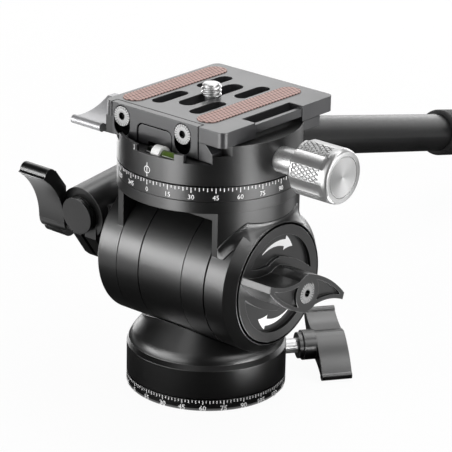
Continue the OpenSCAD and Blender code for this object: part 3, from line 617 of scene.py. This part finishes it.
def threaded_screw():
    """Camera screw turned about its own axis: a profile of radius and height carried round. On the thread the radius
    swings between crest and root as a softened wave of the height plus a turn's share of the pitch."""
    dome_h, head_r, neck_r, head_low, head_high, steps = 0.45, 5.8, 2.0, 84.2, 87.6, 96
    low, high = PLATE_TOP + 0.15, SCREW_TOP - dome_h
    thread = np.linspace(low, high, 64)
    dome = np.linspace(0, 1, 8) * math.pi / 2
    out = np.concatenate([[0.02, head_r, head_r, neck_r, neck_r], np.full(len(thread), SCREW_R),
                          2.6 * np.cos(dome) + 0.02])
    up = np.concatenate([[head_low, head_low, head_high, head_high, low], thread, high + dome_h * np.sin(dome)])
    z, a, r = revolved(up, out, steps)
    wave = 0.5 + 0.5 * np.cos(TAU * (z / SCREW_PITCH - a / TAU))
    shrink = 0.55 * np.clip(1 - (high - z) / 0.9, 0, 1)
    r = np.where(r >= SCREW_R, SCREW_R - 0.6 * wave ** 1.3 - shrink, r)
    points = np.stack([SCREW_XY[0] + r * np.cos(a), SCREW_XY[1] + r * np.sin(a), z], -1)
    return points.reshape(-1, 3), grid_faces(len(up), steps, True)


screw = add_piece("threaded_screw", *threaded_screw(), bright, "camera_bolt", "bright_metal")
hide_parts("camera_screw")


# camera, from the fit to the photograph
CAMERA_AT = Vector((486.366, -562.071, 335.806)) * MM
CAMERA_AIM = Vector((2.464, 5.888, 50.239)) * MM
CAMERA_ROLL = math.radians(1.1733)


def add_camera():
    """Looks from its place to its aim, rolled a little about that line."""
    view = (CAMERA_AIM - CAMERA_AT).normalized()
    level_right = view.cross(Vector((0, 0, 1))).normalized()
    level_up = level_right.cross(view)
    right = level_right * math.cos(CAMERA_ROLL) + level_up * math.sin(CAMERA_ROLL)
    up = right.cross(view)
    camera = bpy.data.objects.new("camera", bpy.data.cameras.new("camera"))
    camera.data.sensor_width = 36.0
    camera.data.lens = 205.7
    camera.data.shift_x = -0.0022
    camera.data.shift_y = 0.0009
    camera.data.clip_end = 20.0
    camera.matrix_world = Matrix((right, up, -view)).transposed().to_4x4()
    camera.location = CAMERA_AT
    bpy.context.scene.collection.objects.link(camera)
    bpy.context.scene.camera = camera


add_camera()


def soft_box(name, at, turn, size, glow):
    """Rectangular studio light: its power is its glow times its area times pi."""
    lamp = bpy.data.lights.new(name, "AREA")
    lamp.shape = "RECTANGLE"
    lamp.size, lamp.size_y = size
    lamp.energy = glow * size[0] * size[1] * math.pi
    made = bpy.data.objects.new(name, lamp)
    made.location = at
    made.rotation_euler = turn
    made.visible_camera = False
    bpy.context.scene.collection.objects.link(made)


# soft boxes on a dome about the head: elevation, boxes to a full ring, height, and glow by azimuth from +X
DOME = [
    (8, 16, 0.19, {90: 2.67, 112.5: 4.9, 135: 1.2, 157.5: 4.2, 225: 6.7, 247.5: 3.9, 270: 3.0}),
    (24, 16, 0.20, {0: 2.64, 22.5: 2.24, 90: 1.52, 112.5: 0.31, 135: 2.3, 225: 0.13, 247.5: 4.3, 270: 1.16,
                    337.5: 0.92}),
    (42, 12, 0.22, {0: 3.7, 120: 1.59, 150: 0.49, 270: 1.39}),
    (62, 8, 0.26, {0: 0.75, 45: 3.8, 90: 3.5, 135: 2.86, 270: 0.58}),
]
# low cards lying on the floor about the head: distance, depth, and glow by azimuth
CARDS = [
    (0.074, 0.042, {0: 12.1, 45: 0.92}),
    (0.125, 0.06, {22.5: 0.28, 45: 0.49, 157.5: 4.3, 180: 0.97, 202.5: 0.69, 225: 0.38}),
    (0.2, 0.085, {0: 4.1, 22.5: 2.1, 67.5: 1.2, 157.5: 1.8, 247.5: 1.27, 270: 4.7}),
    (0.31, 0.13, {90: 1.05, 157.5: 7.1, 270: 5.2}),
    (0.5, 0.24, {0: 5.7, 22.5: 11.7, 247.5: 7.3}),
    (0.85, 0.45, {0: 23.1, 22.5: 29.3, 90: 14.1, 225: 14.0, 247.5: 15.0}),
]
DOME_R = 0.7
MIDDLE = Vector((0, 0, 0.05))
CARD_COUNT = 16             # to a full ring
CARD_Z = 0.004


def studio_light():
    """Soft boxes face the middle of the head, and cards face up. Each is as wide as its share of its ring."""
    for elevation, count, height, glows in DOME:
        for azimuth, glow in glows.items():
            e, a = math.radians(elevation), math.radians(azimuth)
            toward = Vector((math.cos(e) * math.cos(a), math.cos(e) * math.sin(a), math.sin(e)))
            size = (TAU * DOME_R * math.cos(e) / count, height)
            turn = (-toward).to_track_quat("-Z", "Y").to_euler()
            soft_box(f"box_{elevation}_{azimuth:.0f}", MIDDLE + DOME_R * toward, turn, size, glow)
    for distance, depth, glows in CARDS:
        for azimuth, glow in glows.items():
            a = math.radians(azimuth)
            at = Vector((distance * math.cos(a), distance * math.sin(a), CARD_Z))
            turn = Euler((math.pi, 0, a + math.pi / 2))
            soft_box(f"card_{distance / MM:.0f}_{azimuth:.0f}", at, turn, (TAU * distance / CARD_COUNT, depth), glow)


studio_light()


def stage_sheet(name, half, height, finish):
    """Square sheet lying level, as part of the studio."""
    mesh = bpy.data.meshes.new(name)
    corners = np.array([(-1, -1), (1, -1), (1, 1), (-1, 1)]) * half
    mesh.from_pydata(np.column_stack([corners, np.full(4, height)]).tolist(), [], [(0, 1, 2, 3)])
    mesh.materials.append(finish)
    made = bpy.data.objects.new(name, mesh)
    bpy.context.scene.collection.objects.link(made)
    return made


def floor_paint():
    """Pale floor that shows white to the eye, and to reflections past the dark sheet, and still takes the shadow. A
    handle tilted down hangs below it, so to an eye under the floor it is clear."""
    f = Finish("floor_paint")
    rays = f.node("LightPath").outputs()
    shown = sum(rays[ray] for ray in ("Is Camera Ray", "Is Glossy Ray", "Is Transmission Ray"))
    f.give({"Base Color": (0.86, 0.86, 0.86, 1), "Roughness": 0.9})
    f.cover(shown * 0.95, f.node("Emission", links={"Color": (1, 1, 1, 1), "Strength": 1.0}))
    under = rays["Is Camera Ray"] * f.node("NewGeometry", out="Backfacing")
    f.cover(under, f.node("BsdfTransparent"))
    return f.material


stage_sheet("floor", 6.0, 0.0, floor_paint())
# dark sheet just above the floor that only reflections see, so that the black finishes don't turn pale
mat = stage_sheet("dark_card", 3.0, 0.001, paint("dark_card", (0.01, 0.01, 0.01), (0.012, 0.012, 0.012), 0.8))
mat.visible_camera = False
mat.visible_shadow = False
mat.visible_diffuse = False

# white backdrop that only the camera sees, so that it lights nothing
world = bpy.data.worlds.new("studio")
world.use_nodes = True
sky = world.node_tree.nodes["Background"]
sky.inputs["Color"].default_value = (1, 1, 1, 1)
seen = world.node_tree.nodes.new("ShaderNodeLightPath")
world.node_tree.links.new(seen.outputs["Is Camera Ray"], sky.inputs["Strength"])
bpy.context.scene.world = world
bpy.context.scene.view_settings.view_transform = "Standard"
